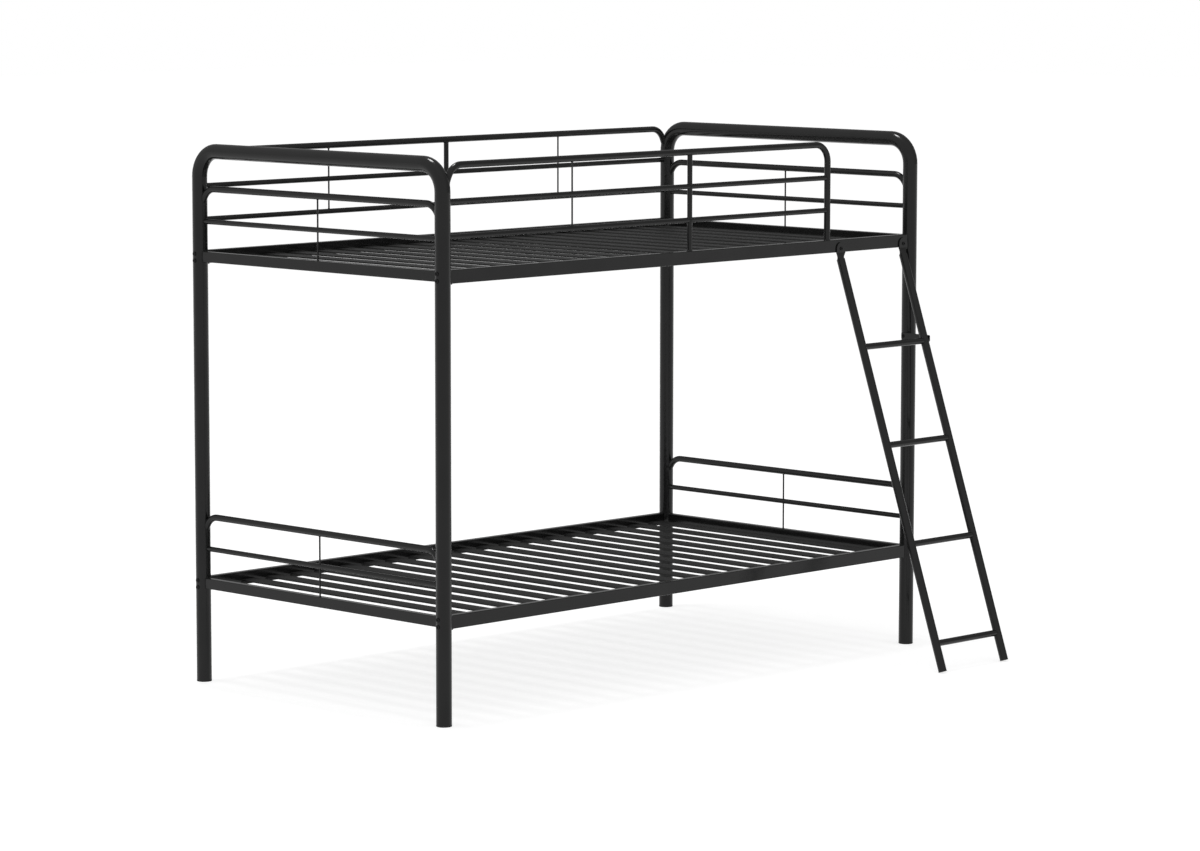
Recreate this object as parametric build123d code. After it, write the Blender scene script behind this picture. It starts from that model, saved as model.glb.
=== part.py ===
from build123d import *
import math
import os

# Bunk bed with ladder, in black steel tube: two bent-tube end frames, two slatted decks
# carried on bolted side rails, guard rails on both sides of the upper deck, and a sloping
# ladder hung on the front of the upper deck near the far end.
#
# Millimetres, +Z up. The origin is on the floor, in the middle of the bed and ladder together.
# X runs along the length, from the near end frame (-X) to the far one (+X), where the
# ladder is. Y runs from the front (-Y, the ladder side) to the rear.

# --- Posts and end frames -------------------------------------------------------------
post_spacing_x = 1950.0      # post axis to post axis, along the bed
post_spacing_y = 1015.0      # post axis to post axis, across the bed
post_od = 44.0
post_wall = 1.2
post_bend_radius = 75.0      # centreline radius of the top corners

# --- Decks: everything on a level is placed from its side rail's top --------------------
lower_rail_top = 307.2       # floor to the top of the lower side rails
deck_rise = 950.5            # lower deck to upper deck
side_rail_height = 38.0
side_rail_thickness = 20.0
side_rail_wall = 1.2
rail_corner_radius = 2.0     # outside corner of every rectangular tube
slat_top_drop = 22.0         # top of the slats, below the top of the side rail
slat_count = 20
slat_width = 53.0
slat_edge_height = 4.5       # turned-down long edges, which stiffen the slat
slat_thickness = 1.0
slat_end_margin = 66.8       # post axis to the middle of the first slat, along the bed
slat_end_height = 14.0       # turned-down end, riveted to the rail
slat_bend_radius = 1.5       # inside the bend of a turned-down end
rivet_spacing = 36.0         # between the two rivets of a slat end
rivet_drop = 8.5             # rivets, below the top of the slats
rivet_radius = 2.4
rivet_head_radius = 4.5
rivet_head_height = 1.2
rivet_hole_clearance = 0.1
rivet_tail_length = 1.5      # upset end inside the rail

# --- End panels, on each level -----------------------------------------------------------
end_rail_height = 30.0
end_rail_thickness = 20.0
end_rail_wall = 1.2
end_rail_top_drop = 2.5      # end rail's top, below the side rail's top
straight_bar_rise = 84.0     # bar axis, above the side rail's top
curved_bar_rise = 178.5      # bar axis, above the side rail's top
top_tube_rise = 286.5        # end frame's top tube axis, above the upper side rail's top
curved_bar_od = 19.0
curved_bar_wall = 1.0
curved_bar_bend_radius = 50.0
curved_bar_bend_reach = 64.0     # post axis to the start of the bend
straight_bar_od = 15.0
straight_bar_wall = 1.0
rod_radius = 2.5

# --- Guard rails of the upper deck -----------------------------------------------------
guard_tube_od = 19.0
guard_tube_wall = 1.0
guard_bar_od = 15.0
guard_bar_wall = 1.0
guard_top_rise = 284.2       # axis heights above the upper side rail's top
guard_middle_rise = 185.4
guard_lower_rise = 89.0
guard_bend_radius = 51.3
guard_bend_reach = 69.0      # post axis to the start of the bend
guard_stile_x = 2.5          # middle stile of both guards, past mid-length
guard_rod_offset = 479.0     # middle stile to each rod

# --- Ladder ----------------------------------------------------------------------------
ladder_tilt = 19.0           # degrees from upright
ladder_width = 284.7         # stile axis to stile axis
ladder_post_gap = 9.2        # clear between the right stile and the far post, along X
guard_leg_gap = 27.2         # clear between the left stile and the front guard's leg, along X
stile_od = 25.0
stile_wall = 1.2
stile_top_drop = 20.5        # stile top's centre, below the upper side rail
rung_count = 4
rung_od = 19.0
rung_wall = 1.0
first_rung = 85.3            # along the stile, from its foot
last_rung_gap = 272.0        # along the stile, from the last rung to the top
tab_plug_length = 30.0
tab_neck_od = 22.0
tab_width = 38.0
tab_thickness = 3.5
tab_bolt_drop = 27.0         # tab bolt, below the top of the side rail
tab_shoulder = 12.0          # full-width flat, below the bolt
strap_height = 20.0
strap_thickness = 3.0
strap_corner_radius = 4.0
strap_rise = 6.0             # strap's middle, above the top rung's axis
strap_stile_end = 10.0       # strap's end, past the bolt on the stile
strap_post_end = 7.0         # strap's end, past the bolt on the post

# --- Feet --------------------------------------------------------------------------------
foot_flange = 5.0            # height of the plastic that shows under a post
foot_plug_length = 22.0
foot_chamfer = 1.0
ladder_foot_flange = 3.0
ladder_foot_plug_length = 18.0

# --- Fasteners and fits ------------------------------------------------------------------
joint_gap = 0.05             # welded and seated faces, so that pieces touch without sharing space
plug_clearance = 0.15        # plug in its tube, on the radius
rail_bolt_radius = 4.0
rail_bolt_pitch = 20.0
rail_bolt_head_radius = 6.5
rail_bolt_head_height = 2.8
bolt_hole_clearance = 0.3    # on the radius
rail_bolt_end = 1.0          # rail bolt's point, short of the end of its threaded saddle
saddle_depth = 4.0           # thinnest part of the saddle, on the rail's centreline
saddle_lip = 2.0             # saddle's foot, below the rail
saddle_plug_length = 9.0
nut_across_flats = 10.0
nut_height = 5.0
small_bolt_radius = 3.0
small_bolt_head_radius = 5.5
small_bolt_head_height = 2.6
small_bolt_reach = 9.0       # shank past the strap
socket_across_flats = 5.0
socket_depth = 1.8
head_rounding = 0.6          # share of a bolt or rivet head's height that is rounded off
thread_overrun = 2.0         # tab bolt's point, past its nut

# --- Values that follow -----------------------------------------------------------------
post_radius = post_od / 2
stile_radius = stile_od / 2
tilt = math.radians(ladder_tilt)
near_x = -post_spacing_x / 2
far_x = post_spacing_x / 2
upper_rail_top = lower_rail_top + deck_rise
top_tube_z = upper_rail_top + top_tube_rise
stile_top_z = upper_rail_top - side_rail_height - stile_top_drop
stile_foot_z = stile_radius * math.sin(tilt)
stile_length = (stile_top_z - stile_foot_z) / math.cos(tilt)
rung_pitch = (stile_length - first_rung - last_rung_gap) / (rung_count - 1)
tab_set_back = side_rail_thickness / 2 + joint_gap
stile_top_reach = tab_set_back + tab_thickness / 2
ladder_reach = stile_top_reach + stile_length * math.sin(tilt) + stile_radius * math.cos(tilt)
front_y = (ladder_reach - post_spacing_y - post_radius) / 2
rear_y = front_y + post_spacing_y
middle_y = (front_y + rear_y) / 2
right_stile_x = far_x - post_radius - ladder_post_gap - stile_radius
left_stile_x = right_stile_x - ladder_width
guard_leg_x = left_stile_x - stile_radius - guard_leg_gap - guard_tube_od / 2
saddle_reach = post_radius + saddle_depth
reach_past = 40.0            # how far a cut runs past the faces it cuts
coped_tail = 28.0            # straight tail past the bend of a turned-down bar, cut off at the post

level_tops = {"lower": lower_rail_top, "upper": upper_rail_top}
end_xs = {"near": near_x, "far": far_x}
side_ys = {"front": front_y, "rear": rear_y}


# --- Helpers ----------------------------------------------------------------------------
def rod(start, end, radius):
    """A solid round bar between two points."""
    direction = Vector(*end) - Vector(*start)
    return extrude(Plane(origin=start, z_dir=direction) * Circle(radius), amount=direction.length)


def straight_tube(start, end, diameter, wall):
    """A hollow round tube between two points, open at both ends."""
    return rod(start, end, diameter / 2) - rod(start, end, diameter / 2 - wall)


def bent_tube(points, radii, diameter, wall):
    """A hollow round tube along straight runs with a tangent arc at each corner."""
    path = FilletPolyline(*points, radius=radii)
    section = Plane(origin=path @ 0, z_dir=path % 0)
    outside = sweep(section * Circle(diameter / 2), path=path)
    inside = sweep(section * Circle(diameter / 2 - wall), path=path)
    return outside - inside


def box_tube(axis, start, end, across, height, wall):
    """A rectangular tube along X or Y, with rounded corners. start and end are its centreline's."""
    length = (Vector(*end) - Vector(*start)).length
    if axis == "x":
        section = Plane(origin=start, x_dir=(0, 1, 0), z_dir=(1, 0, 0))
    else:
        section = Plane(origin=start, x_dir=(-1, 0, 0), z_dir=(0, 1, 0))
    outer = RectangleRounded(across, height, rail_corner_radius)
    inner = RectangleRounded(across - 2 * wall, height - 2 * wall, rail_corner_radius / 2)
    return extrude(section * (outer - inner), amount=length)


def post_cut(x, y):
    """The space a straight post takes, for coping the end of whatever is welded to it."""
    return rod((x, y, 0), (x, y, top_tube_z), post_radius + joint_gap)


def frame_points(x):
    """The axis of an end frame's tube, corner by corner."""
    return [(x, front_y, foot_flange), (x, front_y, top_tube_z),
            (x, rear_y, top_tube_z), (x, rear_y, foot_flange)]


def frame_cut(x):
    """The space a whole end frame takes, for coping what meets it at its bent corners."""
    path = FilletPolyline(*frame_points(x), radius=post_bend_radius)
    section = Plane(origin=path @ 0, z_dir=path % 0) * Circle(post_radius + joint_gap)
    return sweep(section, path=path)


def hex_socket(crown, into):
    """The hexagonal socket in a bolt's head, from the middle of its crown."""
    hexagon = RegularPolygon(socket_across_flats / 2, 6, major_radius=False)
    return extrude(Plane(origin=crown, z_dir=into) * hexagon, amount=socket_depth)


def small_bolt(seat, into, reach):
    """A round-headed bolt. Its head stands on the seat, and its shank reaches past it."""
    crown = seat - into * small_bolt_head_height
    head = rod(crown, seat, small_bolt_head_radius)
    rims = head.edges().filter_by(GeomType.CIRCLE)
    rim = rims.sort_by(lambda edge: (edge.arc_center - crown).length)[0]
    head = fillet(rim, small_bolt_head_height * head_rounding)
    shank = rod(seat - into * (small_bolt_head_height / 2), seat + into * reach, small_bolt_radius)
    return head + shank - hex_socket(crown, into)


def save(name, shapes):
    """Write one node. A list becomes a group of separate solids."""
    shape = Compound(children=list(shapes)) if isinstance(shapes, list) else shapes
    export_step(shape, "parts/" + name + ".step")


# --- End frames -------------------------------------------------------------------------
def rail_bolt_heights():
    """Heights of every rail bolt, two in the end of each side rail."""
    heights = []
    for top in level_tops.values():
        middle = top - side_rail_height / 2
        heights += [middle - rail_bolt_pitch / 2, middle + rail_bolt_pitch / 2]
    return heights


def end_frame(x):
    """One tube bent to both posts and the top of an end, drilled for the rail bolts."""
    frame = bent_tube(frame_points(x), post_bend_radius, post_od, post_wall)
    hole = rail_bolt_radius + bolt_hole_clearance
    for y in side_ys.values():
        for z in rail_bolt_heights():
            frame -= rod((x - reach_past, y, z), (x + reach_past, y, z), hole)
    if x == far_x:
        frame -= strap_bolt_hole("post")
    return frame


def post_foot(x, y):
    """A plastic foot: a flange the size of the post, and a plug up its inside."""
    flange = rod((x, y, 0), (x, y, foot_flange - joint_gap), post_radius)
    flange = chamfer(flange.edges().sort_by(Axis.Z)[0], foot_chamfer)
    plug_radius = post_radius - post_wall - plug_clearance
    plug = rod((x, y, foot_flange / 2), (x, y, foot_flange + foot_plug_length), plug_radius)
    hollow = rod((x, y, foot_flange), (x, y, foot_flange + reach_past), plug_radius - 2 * post_wall)
    return flange + plug - hollow


def end_rail(x, top):
    """The rectangular rail across an end, coped and welded to both posts."""
    z = top - end_rail_top_drop - end_rail_height / 2
    rail = box_tube("y", (x, front_y, z), (x, rear_y, z), end_rail_thickness, end_rail_height, end_rail_wall)
    return rail - post_cut(x, front_y) - post_cut(x, rear_y)


def largest(shape):
    """The biggest solid, where a cope has cut off an end inside the post."""
    return shape.solids().sort_by(SortBy.VOLUME)[-1]


def bend_angle(reach, radius):
    """How far a bar's end has turned down where its axis meets the post."""
    return math.asin((reach - post_radius) / radius)


def drooped_points(near, far, z, reach, radius, plane):
    """A level run whose two ends turn down in an arc and run on into the posts."""
    angle = bend_angle(reach, radius)
    corner = radius * math.tan(angle / 2)
    tail = corner + coped_tail
    run = tail * math.cos(angle)
    drop = tail * math.sin(angle)
    first = near + reach - corner
    last = far - reach + corner
    places = [(first - run, z - drop), (first, z), (last, z), (last + run, z - drop)]
    return [(plane, a, b) for a, b in places]


def curved_bar(x, top):
    """The round bar of an end panel, turned down into the post at both ends."""
    z = top + curved_bar_rise
    points = drooped_points(front_y, rear_y, z, curved_bar_bend_reach, curved_bar_bend_radius, x)
    bar = bent_tube(points, curved_bar_bend_radius, curved_bar_od, curved_bar_wall)
    return largest(bar - post_cut(x, front_y) - post_cut(x, rear_y))


def tie_rod_ends(top):
    """Foot and head of a tie rod: the end rail's top and the curved bar's underside."""
    foot = top - end_rail_top_drop + joint_gap
    head = top + curved_bar_rise - curved_bar_od / 2 - joint_gap
    return foot, head


def straight_bar(x, top):
    """The thin level bar of an end panel, drilled for the tie rod."""
    z = top + straight_bar_rise
    bar = straight_tube((x, front_y, z), (x, rear_y, z), straight_bar_od, straight_bar_wall)
    foot, head = tie_rod_ends(top)
    bar -= rod((x, middle_y, foot), (x, middle_y, head), rod_radius + joint_gap)
    return bar - post_cut(x, front_y) - post_cut(x, rear_y)


def tie_rod(x, top):
    """The thin rod up the middle of an end panel."""
    foot, head = tie_rod_ends(top)
    return rod((x, middle_y, foot), (x, middle_y, head), rod_radius)


# --- Side rails and decks ---------------------------------------------------------------
def side_rail(side, top):
    """A side rail, cut square against its saddles and holed for its rivets and the ladder's bolts."""
    y = side_ys[side]
    z = top - side_rail_height / 2
    start = near_x + saddle_reach + joint_gap
    end = far_x - saddle_reach - joint_gap
    rail = box_tube("x", (start, y, z), (end, y, z), side_rail_thickness, side_rail_height, side_rail_wall)
    inward = 1 if side == "front" else -1
    hole = rivet_radius + rivet_hole_clearance
    rail -= [rod((x, face - inward * side_rail_thickness / 2, height), (x, face + inward, height), hole)
             for x, face, height in rivet_places(side, top)]
    if side == "front" and top == upper_rail_top:
        rail -= [tab_bolt_hole(x) for x in (left_stile_x, right_stile_x)]
    return rail


def saddle(end, y, top):
    """The end fitting of a side rail: hollowed to sit on the post, and plugged into the rail."""
    x = end_xs[end]
    inward = 1 if end == "near" else -1
    z = top - side_rail_height / 2
    face = x + inward * saddle_reach
    block = Pos(x + inward * saddle_reach / 2, y, z - saddle_lip / 2) * Box(
        saddle_reach, side_rail_thickness, side_rail_height + saddle_lip)
    block -= post_cut(x, y)
    plug_across = side_rail_thickness - 2 * side_rail_wall - 2 * plug_clearance
    plug_height = side_rail_height - 2 * side_rail_wall - 2 * plug_clearance
    plug_face = Plane(origin=(face, y, z), x_dir=(0, 1, 0), z_dir=(inward, 0, 0))
    plug = extrude(plug_face * RectangleRounded(plug_across, plug_height, rail_corner_radius),
                   amount=saddle_plug_length)
    fitting = block + plug
    for offset in (-rail_bolt_pitch / 2, rail_bolt_pitch / 2):
        centre = z + offset
        thread = rail_bolt_radius + joint_gap
        fitting -= rod((x, y, centre), (x + inward * 2 * reach_past, y, centre), thread)
    return fitting


def rail_bolt(end, y, z):
    """A round-headed bolt through the post, into its saddle. Its head is hollowed to the post."""
    x = end_xs[end]
    inward = 1 if end == "near" else -1
    head_face = x - inward * (post_radius + rail_bolt_head_height)
    head = rod((head_face, y, z), (x, y, z), rail_bolt_head_radius) - post_cut(x, y)
    outer_edge = head.edges().filter_by(GeomType.CIRCLE).sort_by(Axis.X, reverse=inward < 0)[0]
    head = fillet(outer_edge, rail_bolt_head_height * head_rounding)
    tip = saddle_reach + saddle_plug_length - rail_bolt_end
    shank = rod((x - inward * (post_radius + rail_bolt_head_height / 2), y, z),
                (x + inward * tip, y, z), rail_bolt_radius)
    return head + shank - hex_socket((head_face, y, z), (inward, 0, 0))


def slat_xs():
    """Slat centres along the bed, spread about its middle."""
    first = near_x + slat_end_margin
    pitch = (post_spacing_x - 2 * slat_end_margin) / (slat_count - 1)
    return [first + pitch * i for i in range(slat_count)]


def rivet_places(side, top):
    """Where the rivets of one side rail go: two in each slat end, on the rail's inner face."""
    inward = 1 if side == "front" else -1
    y = side_ys[side] + inward * side_rail_thickness / 2
    z = top - slat_top_drop - rivet_drop
    return [(x + offset, y, z) for x in slat_xs() for offset in (-rivet_spacing / 2, rivet_spacing / 2)]


def slat(x, top):
    """One pressed steel slat: long edges turned down a little, and ends down to the side rails."""
    across = post_spacing_y - side_rail_thickness - 2 * joint_gap
    outside = Rectangle(across, slat_end_height)
    outside = fillet(outside.vertices().group_by(Axis.Y)[-1], slat_bend_radius + slat_thickness)
    hollow = Rectangle(across - 2 * slat_thickness, slat_end_height)
    hollow = fillet(hollow.vertices().group_by(Axis.Y)[-1], slat_bend_radius)
    section = outside - Pos(0, -slat_thickness) * hollow
    middle = top - slat_top_drop - slat_end_height / 2
    start = Plane(origin=(x - slat_width / 2, middle_y, middle), x_dir=(0, 1, 0), z_dir=(1, 0, 0))
    strip = extrude(start * section, amount=slat_width)
    edge_length = across - 2 * (slat_thickness + slat_bend_radius)
    for edge_x in (x - (slat_width - slat_thickness) / 2, x + (slat_width - slat_thickness) / 2):
        strip += Pos(edge_x, middle_y, top - slat_top_drop - slat_edge_height / 2) * Box(
            slat_thickness, edge_length, slat_edge_height)
    z = top - slat_top_drop - rivet_drop
    for offset in (-rivet_spacing / 2, rivet_spacing / 2):
        strip -= rod((x + offset, front_y, z), (x + offset, rear_y, z), rivet_radius + rivet_hole_clearance)
    return strip


def slat_rivet(side, place):
    """A blind rivet through a slat's turned-down end and the rail's inner wall."""
    inward = Vector(0, 1 if side == "front" else -1, 0)
    rail_face = Vector(*place)
    seat = rail_face + inward * (slat_thickness + 2 * joint_gap)
    crown = seat + inward * rivet_head_height
    head = rod(seat, crown, rivet_head_radius)
    rims = head.edges().filter_by(GeomType.CIRCLE)
    rim = rims.sort_by(lambda edge: (edge.arc_center - crown).length)[0]
    head = fillet(rim, rivet_head_height * head_rounding)
    inner_wall = rail_face - inward * (side_rail_wall + joint_gap)
    tip = inner_wall - inward * rivet_tail_length
    shank = rod(tip, seat + inward * (rivet_head_height / 2), rivet_radius)
    tail = rod(tip, inner_wall, rivet_radius + rivet_tail_length / 2)
    return head + shank + tail


# --- Guard rails ------------------------------------------------------------------------
def guard_stile(y):
    """The middle stile, from the side rail up to the guard's top tube."""
    x = guard_stile_x
    head = upper_rail_top + guard_top_rise
    stile = straight_tube((x, y, upper_rail_top + joint_gap), (x, y, head), guard_bar_od, guard_bar_wall)
    return largest(stile - rod((x - reach_past, y, head), (x + reach_past, y, head),
                               guard_tube_od / 2 + joint_gap))


def guard_rod_xs(side):
    """Rods beside the middle stile. The front guard has one only, since the other half is short."""
    xs = [guard_stile_x - guard_rod_offset]
    if side == "rear":
        xs.append(guard_stile_x + guard_rod_offset)
    return xs


def guard_rod(x, y):
    """A thin rod from the lower bar, through the middle bar, up to the top tube."""
    foot = upper_rail_top + guard_lower_rise + guard_bar_od / 2 + joint_gap
    head = upper_rail_top + guard_top_rise - guard_tube_od / 2 - joint_gap
    return rod((x, y, foot), (x, y, head), rod_radius)


def guard_bars(side, rise):
    """A level bar of a guard, in the two lengths either side of the middle stile."""
    y = side_ys[side]
    z = upper_rail_top + rise
    end_x = guard_leg_x if side == "front" else far_x
    bar = straight_tube((near_x, y, z), (end_x, y, z), guard_bar_od, guard_bar_wall)
    bar -= post_cut(near_x, y)
    if side == "front":
        bar -= rod((guard_leg_x, y, z - reach_past), (guard_leg_x, y, z + reach_past),
                   guard_tube_od / 2 + joint_gap)
    else:
        bar -= post_cut(far_x, y)
    bar -= rod((guard_stile_x, y, z - reach_past), (guard_stile_x, y, z + reach_past),
               guard_bar_od / 2 + joint_gap)
    if rise == guard_middle_rise:
        for x in guard_rod_xs(side):
            bar -= rod((x, y, z - reach_past), (x, y, z + reach_past), rod_radius + joint_gap)
    return list(bar.solids())


def rear_guard_top():
    """The rear guard's top tube, turned down into a post at both ends."""
    z = upper_rail_top + guard_top_rise
    flat = drooped_points(near_x, far_x, z, guard_bend_reach, guard_bend_radius, rear_y)
    points = [(x, y, height) for y, x, height in flat]
    tube = bent_tube(points, guard_bend_radius, guard_tube_od, guard_tube_wall)
    return largest(tube - frame_cut(near_x) - frame_cut(far_x))


def front_guard_top():
    """The front guard's top tube: down into the near post, and down to the rail by the ladder."""
    z = upper_rail_top + guard_top_rise
    flat = drooped_points(near_x, far_x, z, guard_bend_reach, guard_bend_radius, front_y)
    points = [(x, y, height) for y, x, height in flat[:2]]
    points.append((guard_leg_x, front_y, z))
    points.append((guard_leg_x, front_y, upper_rail_top + joint_gap))
    tube = bent_tube(points, guard_bend_radius, guard_tube_od, guard_tube_wall)
    return largest(tube - frame_cut(near_x))


# --- Ladder -----------------------------------------------------------------------------
def stile_point(x, along, out=0.0):
    """A point on a stile: along it from its foot, and out from its axis towards the front."""
    foot_y = front_y - stile_top_reach - stile_length * math.sin(tilt)
    y = foot_y + along * math.sin(tilt) - out * math.cos(tilt)
    z = stile_foot_z + along * math.cos(tilt) + out * math.sin(tilt)
    return (x, y, z)


def ladder_stile(x):
    """A sloping ladder stile, open at both ends."""
    tube = straight_tube(stile_point(x, ladder_foot_flange), stile_point(x, stile_length),
                         stile_od, stile_wall)
    if x == right_stile_x:
        tube -= strap_bolt_hole("stile")
    return tube


def rung_along(number):
    """Distance of a rung from the stile's foot. Rung 1 is the lowest."""
    return first_rung + rung_pitch * (number - 1)


def ladder_rung(number):
    """A rung, coped to both stiles."""
    along = rung_along(number)
    rung = straight_tube(stile_point(left_stile_x, along), stile_point(right_stile_x, along),
                         rung_od, rung_wall)
    for x in (left_stile_x, right_stile_x):
        rung -= rod(stile_point(x, along - reach_past), stile_point(x, along + reach_past),
                    stile_radius + joint_gap)
    return rung


def ladder_foot(x):
    """A plastic plug in the foot of a stile, with a flange cut square to the stile."""
    flange = rod(stile_point(x, 0), stile_point(x, ladder_foot_flange - joint_gap), stile_radius)
    plug_radius = stile_radius - stile_wall - plug_clearance
    plug = rod(stile_point(x, ladder_foot_flange / 2),
               stile_point(x, ladder_foot_flange + ladder_foot_plug_length), plug_radius)
    return flange + plug


def tab_bolt_z():
    """Height of the bolts that hold the ladder to the upper side rail."""
    return upper_rail_top - tab_bolt_drop


def tab_front_y():
    """The front face of the ladder's tabs, which lie on the side rail."""
    return front_y - tab_set_back - tab_thickness


def ladder_tab(x):
    """The top of a stile: a plug, a neck and a flattened plate with a round top."""
    plug_radius = stile_radius - stile_wall - plug_clearance
    plug = rod(stile_point(x, stile_length - tab_plug_length), stile_point(x, stile_length), plug_radius)
    plate_y = front_y - tab_set_back - tab_thickness / 2
    shoulder_z = tab_bolt_z() - tab_shoulder
    top = Plane(origin=stile_point(x, stile_length), x_dir=(1, 0, 0),
                z_dir=(0, math.sin(tilt), math.cos(tilt)))
    plate_foot = Plane(origin=(x, plate_y, shoulder_z), x_dir=(1, 0, 0), z_dir=(0, 0, 1))
    neck = loft([top * Circle(tab_neck_od / 2), plate_foot * Rectangle(tab_width, tab_thickness)])
    upright = Plane(origin=(x, plate_y + tab_thickness / 2, tab_bolt_z()), x_dir=(1, 0, 0), z_dir=(0, -1, 0))
    outline = Circle(tab_width / 2) + Pos(0, -tab_shoulder / 2) * Rectangle(tab_width, tab_shoulder)
    plate = extrude(upright * outline, amount=tab_thickness)
    plate -= extrude(upright * Pos(0, -tab_shoulder - reach_past / 2) * Rectangle(tab_width * 2, reach_past),
                     amount=tab_thickness)
    return plug + neck + plate - tab_bolt_hole(x)


def tab_bolt_hole(x):
    """The hole of a tab bolt, through the tab and the rail's front wall."""
    radius = small_bolt_radius + bolt_hole_clearance
    return rod((x, front_y - reach_past, tab_bolt_z()), (x, front_y, tab_bolt_z()), radius)


def tab_nut_face():
    """The inner side of the upper side rail's front wall, where the tab nuts are welded."""
    return front_y - side_rail_thickness / 2 + side_rail_wall + joint_gap


def tab_bolt(x):
    """A bolt through a tab and the rail's front wall, into its nut."""
    seat = Vector(x, tab_front_y() - joint_gap, tab_bolt_z())
    point = tab_nut_face() + nut_height + thread_overrun
    return small_bolt(seat, Vector(0, 1, 0), point - seat.Y)


def tab_nut(x):
    """The nut of a tab bolt, inside the side rail."""
    face = Plane(origin=(x, tab_nut_face(), tab_bolt_z()), x_dir=(1, 0, 0), z_dir=(0, 1, 0))
    hexagon = RegularPolygon(nut_across_flats / 2, 6, major_radius=False)
    return extrude(face * (hexagon - Circle(small_bolt_radius + joint_gap)), amount=nut_height)


def strap_layout():
    """The stay strap's two bolt points, its direction and the side that faces the post.

    The strap is flat and upright. It touches the right stile's outer side and the inner side
    of the far front post, so its centreline is the tangent that crosses between the two.
    """
    z = stile_point(0, rung_along(rung_count))[2] + strap_rise
    along = (z - stile_foot_z) / math.cos(tilt)
    stile_axis = Vector(right_stile_x, stile_point(0, along)[1], 0)
    post_axis = Vector(far_x, front_y, 0)
    between = post_axis - stile_axis
    post_reach = post_radius + joint_gap + strap_thickness / 2
    lean = strap_height / 2 * math.tan(tilt)
    heading = math.atan2(between.X, between.Y)
    for _ in range(3):
        stile_reach = stile_radius + joint_gap + strap_thickness / 2 + lean * abs(math.sin(heading))
        swing = math.asin((stile_reach + post_reach) / between.length)
        heading = math.atan2(between.X, between.Y) - swing
    direction = Vector(math.sin(heading), math.cos(heading), 0)
    outward = Vector(math.cos(heading), -math.sin(heading), 0)
    stile_bolt = stile_axis + outward * stile_reach
    post_bolt = post_axis - outward * post_reach
    return stile_bolt, post_bolt, direction, outward, z


def strap_bolt_hole(end):
    """The hole for a strap bolt, through the strap and into the stile or the post."""
    stile_bolt, post_bolt, direction, outward, z = strap_layout()
    centre = stile_bolt if end == "stile" else post_bolt
    inner = centre + Vector(0, 0, z)
    side = -1 if end == "stile" else 1
    start = inner - outward * (side * 2 * strap_thickness)
    finish = inner + outward * (side * (small_bolt_reach + 2 * strap_thickness))
    return rod(start, finish, small_bolt_radius + bolt_hole_clearance)


def ladder_strap():
    """The flat stay between the ladder and the post."""
    stile_bolt, post_bolt, direction, outward, z = strap_layout()
    start = stile_bolt - direction * strap_stile_end
    end = post_bolt + direction * strap_post_end
    centre = (start + end) * 0.5
    lie = Plane(origin=(centre.X, centre.Y, z), x_dir=direction, z_dir=outward)
    outline = RectangleRounded((end - start).length, strap_height, strap_corner_radius)
    plate = extrude(lie * outline, amount=strap_thickness / 2, both=True)
    return plate - strap_bolt_hole("stile") - strap_bolt_hole("post")


def strap_bolt(end):
    """A short bolt through one end of the strap."""
    stile_bolt, post_bolt, direction, outward, z = strap_layout()
    centre = (stile_bolt if end == "stile" else post_bolt) + Vector(0, 0, z)
    into = outward * (-1 if end == "stile" else 1)
    seat = centre - into * (strap_thickness / 2 + joint_gap)
    return small_bolt(seat, into, strap_thickness + joint_gap + small_bolt_reach)


# --- Build ------------------------------------------------------------------------------
def build():
    """Make every node."""
    os.makedirs("parts", exist_ok=True)

    for end, x in end_xs.items():
        save(end + "_end_frame", end_frame(x))
        for level, top in level_tops.items():
            place = end + "_" + level
            save(place + "_end_rail", end_rail(x, top))
            save(place + "_curved_bar", curved_bar(x, top))
            save(place + "_straight_bar", straight_bar(x, top))
            save(place + "_tie_rod", tie_rod(x, top))
    save("post_feet", [post_foot(x, y) for x in end_xs.values() for y in side_ys.values()])

    for level, top in level_tops.items():
        for side in side_ys:
            save(side + "_" + level + "_side_rail", side_rail(side, top))
        save(level + "_slats", [slat(x, top) for x in slat_xs()])
        save(level + "_slat_rivets", [slat_rivet(side, place) for side in side_ys
                                      for place in rivet_places(side, top)])

    ends = [(end, y) for end in end_xs for y in side_ys.values()]
    save("rail_saddles", [saddle(end, y, top) for end, y in ends for top in level_tops.values()])
    save("rail_bolts", [rail_bolt(end, y, z) for end, y in ends for z in rail_bolt_heights()])

    for side, y in side_ys.items():
        save(side + "_guard_stile", guard_stile(y))
        save(side + "_guard_middle_bars", guard_bars(side, guard_middle_rise))
        save(side + "_guard_lower_bars", guard_bars(side, guard_lower_rise))
        save(side + "_guard_rods", [guard_rod(x, y) for x in guard_rod_xs(side)])
    save("front_guard_top_tube", front_guard_top())
    save("rear_guard_top_tube", rear_guard_top())

    stiles = {"left": left_stile_x, "right": right_stile_x}
    for hand, x in stiles.items():
        save("ladder_" + hand + "_stile", ladder_stile(x))
        save("ladder_" + hand + "_tab", ladder_tab(x))
    for number in range(1, rung_count + 1):
        save("ladder_rung_" + str(number), ladder_rung(number))
    save("ladder_feet", [ladder_foot(x) for x in stiles.values()])
    save("ladder_tab_bolts", [tab_bolt(x) for x in stiles.values()])
    save("ladder_tab_nuts", [tab_nut(x) for x in stiles.values()])
    save("ladder_strap", ladder_strap())
    save("ladder_strap_bolts", [strap_bolt(end) for end in ("stile", "post")])


build()
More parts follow.
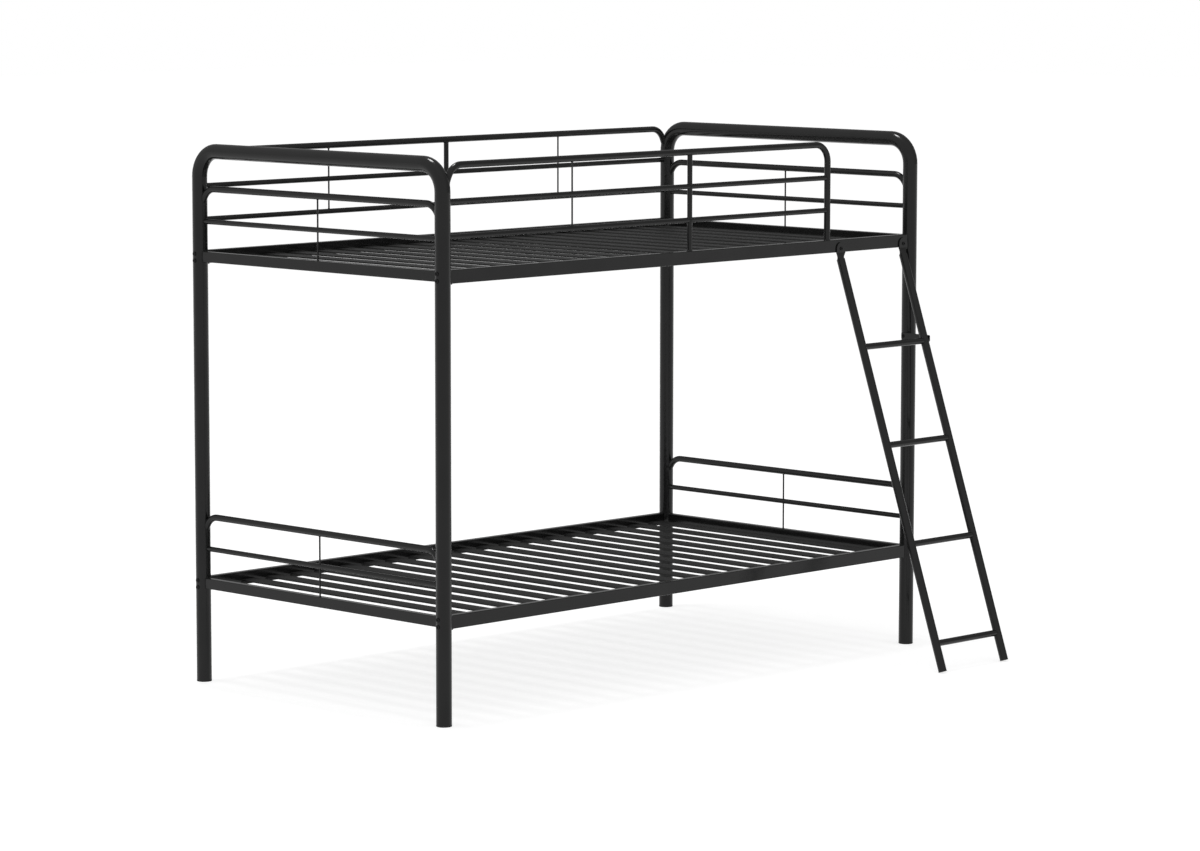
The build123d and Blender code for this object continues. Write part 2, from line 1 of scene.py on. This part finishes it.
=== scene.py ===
import bpy
import math
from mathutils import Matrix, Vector


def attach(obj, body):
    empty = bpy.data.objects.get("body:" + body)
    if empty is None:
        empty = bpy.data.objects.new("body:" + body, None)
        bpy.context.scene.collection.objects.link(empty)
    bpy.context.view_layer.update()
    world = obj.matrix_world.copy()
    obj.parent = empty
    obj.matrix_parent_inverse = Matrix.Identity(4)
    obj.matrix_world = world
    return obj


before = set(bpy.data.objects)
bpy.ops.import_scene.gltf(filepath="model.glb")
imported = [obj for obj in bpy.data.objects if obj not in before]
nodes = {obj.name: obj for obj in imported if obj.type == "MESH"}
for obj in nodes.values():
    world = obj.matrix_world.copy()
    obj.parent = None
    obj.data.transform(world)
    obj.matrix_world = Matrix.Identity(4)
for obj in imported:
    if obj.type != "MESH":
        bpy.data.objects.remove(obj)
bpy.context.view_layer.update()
print("frame loaded:", len(nodes), "nodes")


# camera: about head height, off the near front corner, looking along the bed
cameraSetup = {
    "place": (-9.0301, -8.8052, 2.2023),  # metres
    "down": 6.744,                        # degrees below level
    "yaw": -44.94,
    "lens": 129.66,
    "sensor": 36.0,
    "shift": (0.0374, 0.0047),
    "farClip": 100.0,
}


def makeCamera(setup):
    data = bpy.data.cameras.new("camera")
    data.lens = setup["lens"]
    data.sensor_width = setup["sensor"]
    data.sensor_fit = "HORIZONTAL"
    data.shift_x, data.shift_y = setup["shift"]
    data.clip_end = setup["farClip"]
    camera = bpy.data.objects.new("camera", data)
    camera.location = setup["place"]
    camera.rotation_euler = (math.radians(90 - setup["down"]), 0, math.radians(setup["yaw"]))
    bpy.context.scene.collection.objects.link(camera)
    bpy.context.scene.camera = camera


makeCamera(cameraSetup)


# studio: an even white sweep, dimmer behind the bed, and one small lamp high up
studio = {
    "frontSide": (-0.85, -0.5, 0.16),     # where the sweep is brightest
    "frontGlow": 1.05,
    "backGlow": 0.36,
    "glowFades": (-0.7, 0.6),             # cosines from that side where the dim and the bright parts begin
    "lampSide": (-0.05, 0.16, 0.98),
    "lampDistance": 5.5,
    "lampSize": 1.5,
    "lampWatts": 170.0,
    "aim": (0.0, 0.2, 1.1),
    "floorSize": 80.0,
    "white": (1, 1, 1, 1),
    "floorGrey": 0.35,
    "floorGlow": 0.76,
}


def makeSweep(setup):
    world = bpy.data.worlds.new("whiteSweep")
    bpy.context.scene.world = world
    world.use_nodes = True
    tree = world.node_tree
    tree.nodes.clear()
    out = tree.nodes.new("ShaderNodeOutputWorld")
    plain = tree.nodes.new("ShaderNodeBackground")
    glow = tree.nodes.new("ShaderNodeBackground")
    place = tree.nodes.new("ShaderNodeTexCoord")
    side = tree.nodes.new("ShaderNodeVectorMath")
    side.operation = "DOT_PRODUCT"
    side.inputs[1].default_value = Vector(setup["frontSide"]).normalized()
    spread = tree.nodes.new("ShaderNodeMapRange")
    spread.interpolation_type = "SMOOTHSTEP"
    spread.inputs["From Min"].default_value, spread.inputs["From Max"].default_value = setup["glowFades"]
    spread.inputs["To Min"].default_value = setup["backGlow"]
    spread.inputs["To Max"].default_value = setup["frontGlow"]
    path = tree.nodes.new("ShaderNodeLightPath")
    mix = tree.nodes.new("ShaderNodeMixShader")
    tree.links.new(place.outputs["Generated"], side.inputs[0])
    tree.links.new(side.outputs["Value"], spread.inputs["Value"])
    tree.links.new(spread.outputs["Result"], glow.inputs["Strength"])
    tree.links.new(path.outputs["Is Camera Ray"], mix.inputs[0])
    tree.links.new(glow.outputs[0], mix.inputs[1])
    tree.links.new(plain.outputs[0], mix.inputs[2])
    tree.links.new(mix.outputs[0], out.inputs["Surface"])
    # the camera sees plain white, and the bed reflects the graded sweep
    plain.inputs["Color"].default_value = setup["white"]
    glow.inputs["Color"].default_value = setup["white"]


def hangLamp(setup):
    data = bpy.data.lights.new("highLamp", "AREA")
    data.shape = "DISK"
    data.size = setup["lampSize"]
    data.energy = setup["lampWatts"]
    lamp = bpy.data.objects.new("highLamp", data)
    side = Vector(setup["lampSide"]).normalized()
    lamp.location = Vector(setup["aim"]) + side * setup["lampDistance"]
    lamp.rotation_euler = side.to_track_quat("Z", "Y").to_euler()
    bpy.context.scene.collection.objects.link(lamp)


def layFloor(setup):
    bpy.ops.mesh.primitive_plane_add(size=setup["floorSize"])
    floor = bpy.context.object
    floor.name = "floor"
    paper = bpy.data.materials.new("floorPaper")
    paper.use_nodes = True
    shader = paper.node_tree.nodes["Principled BSDF"]
    grey = setup["floorGrey"]
    shader.inputs["Base Color"].default_value = (grey, grey, grey, 1)
    shader.inputs["Roughness"].default_value = 1.0
    shader.inputs["Specular IOR Level"].default_value = 0.0
    shader.inputs["Emission Color"].default_value = setup["white"]
    shader.inputs["Emission Strength"].default_value = setup["floorGlow"]
    floor.data.materials.append(paper)


makeSweep(studio)
hangLamp(studio)
layFloor(studio)
bpy.context.scene.view_settings.view_transform = "Standard"
print("studio set")


# finishes: what every coat, moulding and fastener is made of
# patch and grain are noise scales per metre, and grainDepth is in metres
tubeCoat = {"dark": 0.0036, "light": 0.0056, "patch": 9.0, "smooth": 0.13, "dull": 0.20,
            "grain": 900.0, "grainDepth": 0.000010, "gloss": 0.24}
slatCoat = {"dark": 0.0055, "light": 0.0085, "patch": 14.0, "smooth": 0.52, "dull": 0.62,
            "grain": 1100.0, "grainDepth": 0.000016, "gloss": 0.20}
weldCoat = {"dark": 0.0034, "light": 0.0056, "patch": 60.0, "smooth": 0.18, "dull": 0.28,
            "grain": 420.0, "grainDepth": 0.00010, "gloss": 0.24}
footMoulding = {"dark": 0.0060, "light": 0.0090, "patch": 30.0, "smooth": 0.55, "dull": 0.70,
                "grain": 1600.0, "grainDepth": 0.00004, "gloss": 0.30}
boltFinish = {"dark": 0.0018, "light": 0.0030, "patch": 80.0, "smooth": 0.30, "dull": 0.45,
              "grain": 2200.0, "grainDepth": 0.00001, "gloss": 0.17}


# how every coat's noises are laid
coatNoise = {
    "middle": (0.3, 0.7),  # the part of a noise's range that is spread over the recipe's
    "shadeDetail": 4.0,
    "glossDetail": 6.0,
    "glossFiner": 2.3,     # gloss varies this much more finely than colour
    "grainDetail": 2.0,
}


def noiseAt(tree, place, scale, detail):
    noise = tree.nodes.new("ShaderNodeTexNoise")
    noise.inputs["Scale"].default_value = scale
    noise.inputs["Detail"].default_value = detail
    tree.links.new(place, noise.inputs["Vector"])
    return noise.outputs["Fac"]


def spreadOver(tree, value, low, high):
    spread = tree.nodes.new("ShaderNodeMapRange")
    spread.inputs["From Min"].default_value, spread.inputs["From Max"].default_value = coatNoise["middle"]
    spread.inputs["To Min"].default_value = low
    spread.inputs["To Max"].default_value = high
    tree.links.new(value, spread.inputs["Value"])
    return spread.outputs["Result"]


def makeCoat(name, recipe, stretch=(1, 1, 1)):
    coat = bpy.data.materials.new(name)
    coat.use_nodes = True
    tree = coat.node_tree
    shader = tree.nodes["Principled BSDF"]
    spot = tree.nodes.new("ShaderNodeTexCoord")
    turn = tree.nodes.new("ShaderNodeMapping")
    turn.inputs["Scale"].default_value = stretch
    tree.links.new(spot.outputs["Object"], turn.inputs["Vector"])
    place = turn.outputs["Vector"]
    # broad patches of colour and of gloss, each from its own noise
    shade = noiseAt(tree, place, recipe["patch"], coatNoise["shadeDetail"])
    shade = spreadOver(tree, shade, recipe["dark"], recipe["light"])
    tint = tree.nodes.new("ShaderNodeCombineColor")
    for channel in ("Red", "Green", "Blue"):
        tree.links.new(shade, tint.inputs[channel])
    tree.links.new(tint.outputs["Color"], shader.inputs["Base Color"])
    gloss = noiseAt(tree, place, recipe["patch"] * coatNoise["glossFiner"], coatNoise["glossDetail"])
    gloss = spreadOver(tree, gloss, recipe["smooth"], recipe["dull"])
    tree.links.new(gloss, shader.inputs["Roughness"])
    shader.inputs["Specular IOR Level"].default_value = recipe["gloss"]
    # fine orange-peel grain
    grain = noiseAt(tree, spot.outputs["Object"], recipe["grain"], coatNoise["grainDetail"])
    bump = tree.nodes.new("ShaderNodeBump")
    bump.inputs["Distance"].default_value = recipe["grainDepth"]
    tree.links.new(grain, bump.inputs["Height"])
    tree.links.new(bump.outputs["Normal"], shader.inputs["Normal"])
    return coat


# slats are rolled very slightly proud along their middles
slatCrown = {
    "first": -0.9082,  # middle of the first slat, in metres
    "pitch": 0.0956,
    "fall": 0.7,       # per metre from the middle
}


def workOut(tree, operation, value, amount):
    step = tree.nodes.new("ShaderNodeMath")
    step.operation = operation
    for socket, given in zip(step.inputs, (value, amount)):
        if isinstance(given, float):
            socket.default_value = given
        elif given is not None:
            tree.links.new(given, socket)
    return step.outputs[0]


def crownSlats(coat, crown):
    tree = coat.node_tree
    spot = next(n for n in tree.nodes if n.bl_idname == "ShaderNodeTexCoord")
    bump = next(n for n in tree.nodes if n.bl_idname == "ShaderNodeBump")
    axes = tree.nodes.new("ShaderNodeSeparateXYZ")
    tree.links.new(spot.outputs["Object"], axes.inputs["Vector"])
    # how far each point lies from the middle of its own slat
    along = workOut(tree, "SUBTRACT", axes.outputs["X"], crown["first"] - crown["pitch"] / 2)
    along = workOut(tree, "FRACT", workOut(tree, "DIVIDE", along, crown["pitch"]), None)
    off = workOut(tree, "MULTIPLY", workOut(tree, "SUBTRACT", along, 0.5), crown["pitch"])
    height = workOut(tree, "MULTIPLY", workOut(tree, "MULTIPLY", off, off), -crown["fall"])
    rise = tree.nodes.new("ShaderNodeBump")
    rise.inputs["Distance"].default_value = 1.0
    tree.links.new(height, rise.inputs["Height"])
    tree.links.new(rise.outputs["Normal"], bump.inputs["Normal"])


tubeBlack = makeCoat("tubePowderCoat", tubeCoat)
slatStretch = (1, 0.12, 1)  # patches run along each slat
slatBlack = makeCoat("slatPowderCoat", slatCoat, slatStretch)
crownSlats(slatBlack, slatCrown)
weldBlack = makeCoat("weldPowderCoat", weldCoat)
footBlack = makeCoat("footMouldedPlastic", footMoulding)
boltBlack = makeCoat("boltBlackFinish", boltFinish)


def finishFor(name):
    if name.endswith("_feet"):
        return footBlack
    if name.endswith("_slats"):
        return slatBlack
    if name.endswith(("_bolts", "_nuts", "_rivets")):
        return boltBlack
    return tubeBlack


for name, node in nodes.items():
    for slot in node.material_slots:
        slot.material = finishFor(name)
print("finishes on")


# welds: a bead round every joint where one tube is coped to another
welds = {
    "near": 0.0007,       # how close a coped end lies to what it is welded to
    "facing": -0.93,      # how squarely the coped face looks at it
    "railBead": 0.0016,   # bead radii
    "barBead": 0.0014,
    "rodBead": 0.0009,
    "bevelSteps": 2,
    "fewestPoints": 6,    # a shorter loop is a sliver, not a rim
    "innerRim": 0.6,      # a rim this near another's middle, as a share of its reach, is the bore's
    "sameSpot": 5,        # decimals of a metre that two corners have to share
}
rungCount = 4


endFrameJoints = []
for end in ("near", "far"):
    post = end + "_end_frame"
    for level in ("lower", "upper"):
        part = end + "_" + level
        endFrameJoints.append((part + "_end_rail", post, "railBead"))
        endFrameJoints.append((part + "_curved_bar", post, "barBead"))
        endFrameJoints.append((part + "_straight_bar", post, "barBead"))
        endFrameJoints.append((part + "_tie_rod", part + "_end_rail", "rodBead"))
        endFrameJoints.append((part + "_tie_rod", part + "_curved_bar", "rodBead"))

guardJoints = []
for side in ("front", "rear"):
    guard = side + "_guard_"
    top = guard + "top_tube"
    guardJoints.append((top, "near_end_frame", "barBead"))
    guardJoints.append((guard + "stile", top, "barBead"))
    guardJoints.append((guard + "stile", side + "_upper_side_rail", "barBead"))
    guardJoints.append((guard + "rods", top, "rodBead"))
    guardJoints.append((guard + "rods", guard + "lower_bars", "rodBead"))
    for bars in (guard + "middle_bars", guard + "lower_bars"):
        guardJoints.append((bars, "near_end_frame", "barBead"))
        guardJoints.append((bars, guard + "stile", "barBead"))
        if side == "rear":
            guardJoints.append((bars, "far_end_frame", "barBead"))
        else:
            guardJoints.append((bars, top, "barBead"))
guardJoints.append(("rear_guard_top_tube", "far_end_frame", "barBead"))
guardJoints.append(("front_guard_top_tube", "front_upper_side_rail", "barBead"))

ladderJoints = []
for rung in range(1, rungCount + 1):
    for hand in ("left", "right"):
        ladderJoints.append(("ladder_rung_" + str(rung), "ladder_" + hand + "_stile", "barBead"))


def copedFaces(part, target, setup):
    # triangles of part that lie against target and look squarely at it
    mesh = part.data
    close = {}
    for corner in mesh.vertices:
        found, spot, normal, _ = target.closest_point_on_mesh(corner.co)
        if found and (spot - corner.co).length < setup["near"]:
            close[corner.index] = normal
    faces = []
    for face in mesh.polygons:
        if all(i in close for i in face.vertices):
            if face.normal.dot(close[face.vertices[0]]) < setup["facing"]:
                corners = [mesh.vertices[i].co for i in face.vertices]
                faces.append([tuple(round(c, setup["sameSpot"]) for c in corner) for corner in corners])
    return faces


def outerLoops(faces):
    # edges that only one coped face has, strung into loops
    count = {}
    for corners in faces:
        for a, b in zip(corners, corners[1:] + corners[:1]):
            key = (min(a, b), max(a, b))
            count[key] = count.get(key, 0) + 1
    beside = {}
    for (a, b), times in count.items():
        if times == 1 and a != b:
            beside.setdefault(a, []).append(b)
            beside.setdefault(b, []).append(a)
    loops = []
    left = set(beside)
    while left:
        start = min(left)
        loop = [start]
        left.discard(start)
        step = start
        while True:
            ahead = [p for p in beside[step] if p in left]
            if not ahead:
                break
            step = min(ahead)
            left.discard(step)
            loop.append(step)
        loops.append([Vector(p) for p in loop])
    return loops


def loopLength(loop):
    return sum((a - b).length for a, b in zip(loop, loop[1:] + loop[:1]))


def dropInnerRims(loops, setup):
    # the longest loop of each end is its outer rim
    kept = []
    for loop in sorted(loops, key=loopLength, reverse=True):
        middle = sum(loop, Vector()) / len(loop)
        reach = max((p - middle).length for p in loop)
        if all((middle - other).length > setup["innerRim"] * reach for other in kept):
            kept.append(middle)
            yield loop


def layBead(loop, radius, steps):
    curve = bpy.data.curves.new("bead", "CURVE")
    curve.dimensions = "3D"
    curve.bevel_depth = radius
    curve.bevel_resolution = steps
    line = curve.splines.new("POLY")
    line.points.add(len(loop) - 1)
    for point, place in zip(line.points, loop):
        point.co = (*place, 1)
    line.use_cyclic_u = True
    bead = bpy.data.objects.new("bead", curve)
    bpy.context.scene.collection.objects.link(bead)
    return bead


def weldUp(name, joints, setup):
    bpy.ops.object.select_all(action="DESELECT")
    beads = []
    for part, target, size in joints:
        faces = copedFaces(nodes[part], nodes[target], setup)
        for loop in dropInnerRims(outerLoops(faces), setup):
            if len(loop) >= setup["fewestPoints"]:
                beads.append(layBead(loop, setup[size], setup["bevelSteps"]))
    for bead in beads:
        bead.select_set(True)
    bpy.context.view_layer.objects.active = beads[0]
    bpy.ops.object.convert(target="MESH")
    bpy.ops.object.join()
    piece = bpy.context.object
    piece.name = name
    bpy.ops.object.shade_smooth()
    piece.data.materials.clear()
    piece.data.materials.append(weldBlack)
    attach(piece, "root")
    print(name, len(beads), "beads from", len(joints), "joints,", len(piece.data.polygons), "faces")


weldUp("end_frame_welds", endFrameJoints, welds)
weldUp("guard_welds", guardJoints, welds)
weldUp("ladder_welds", ladderJoints, welds)
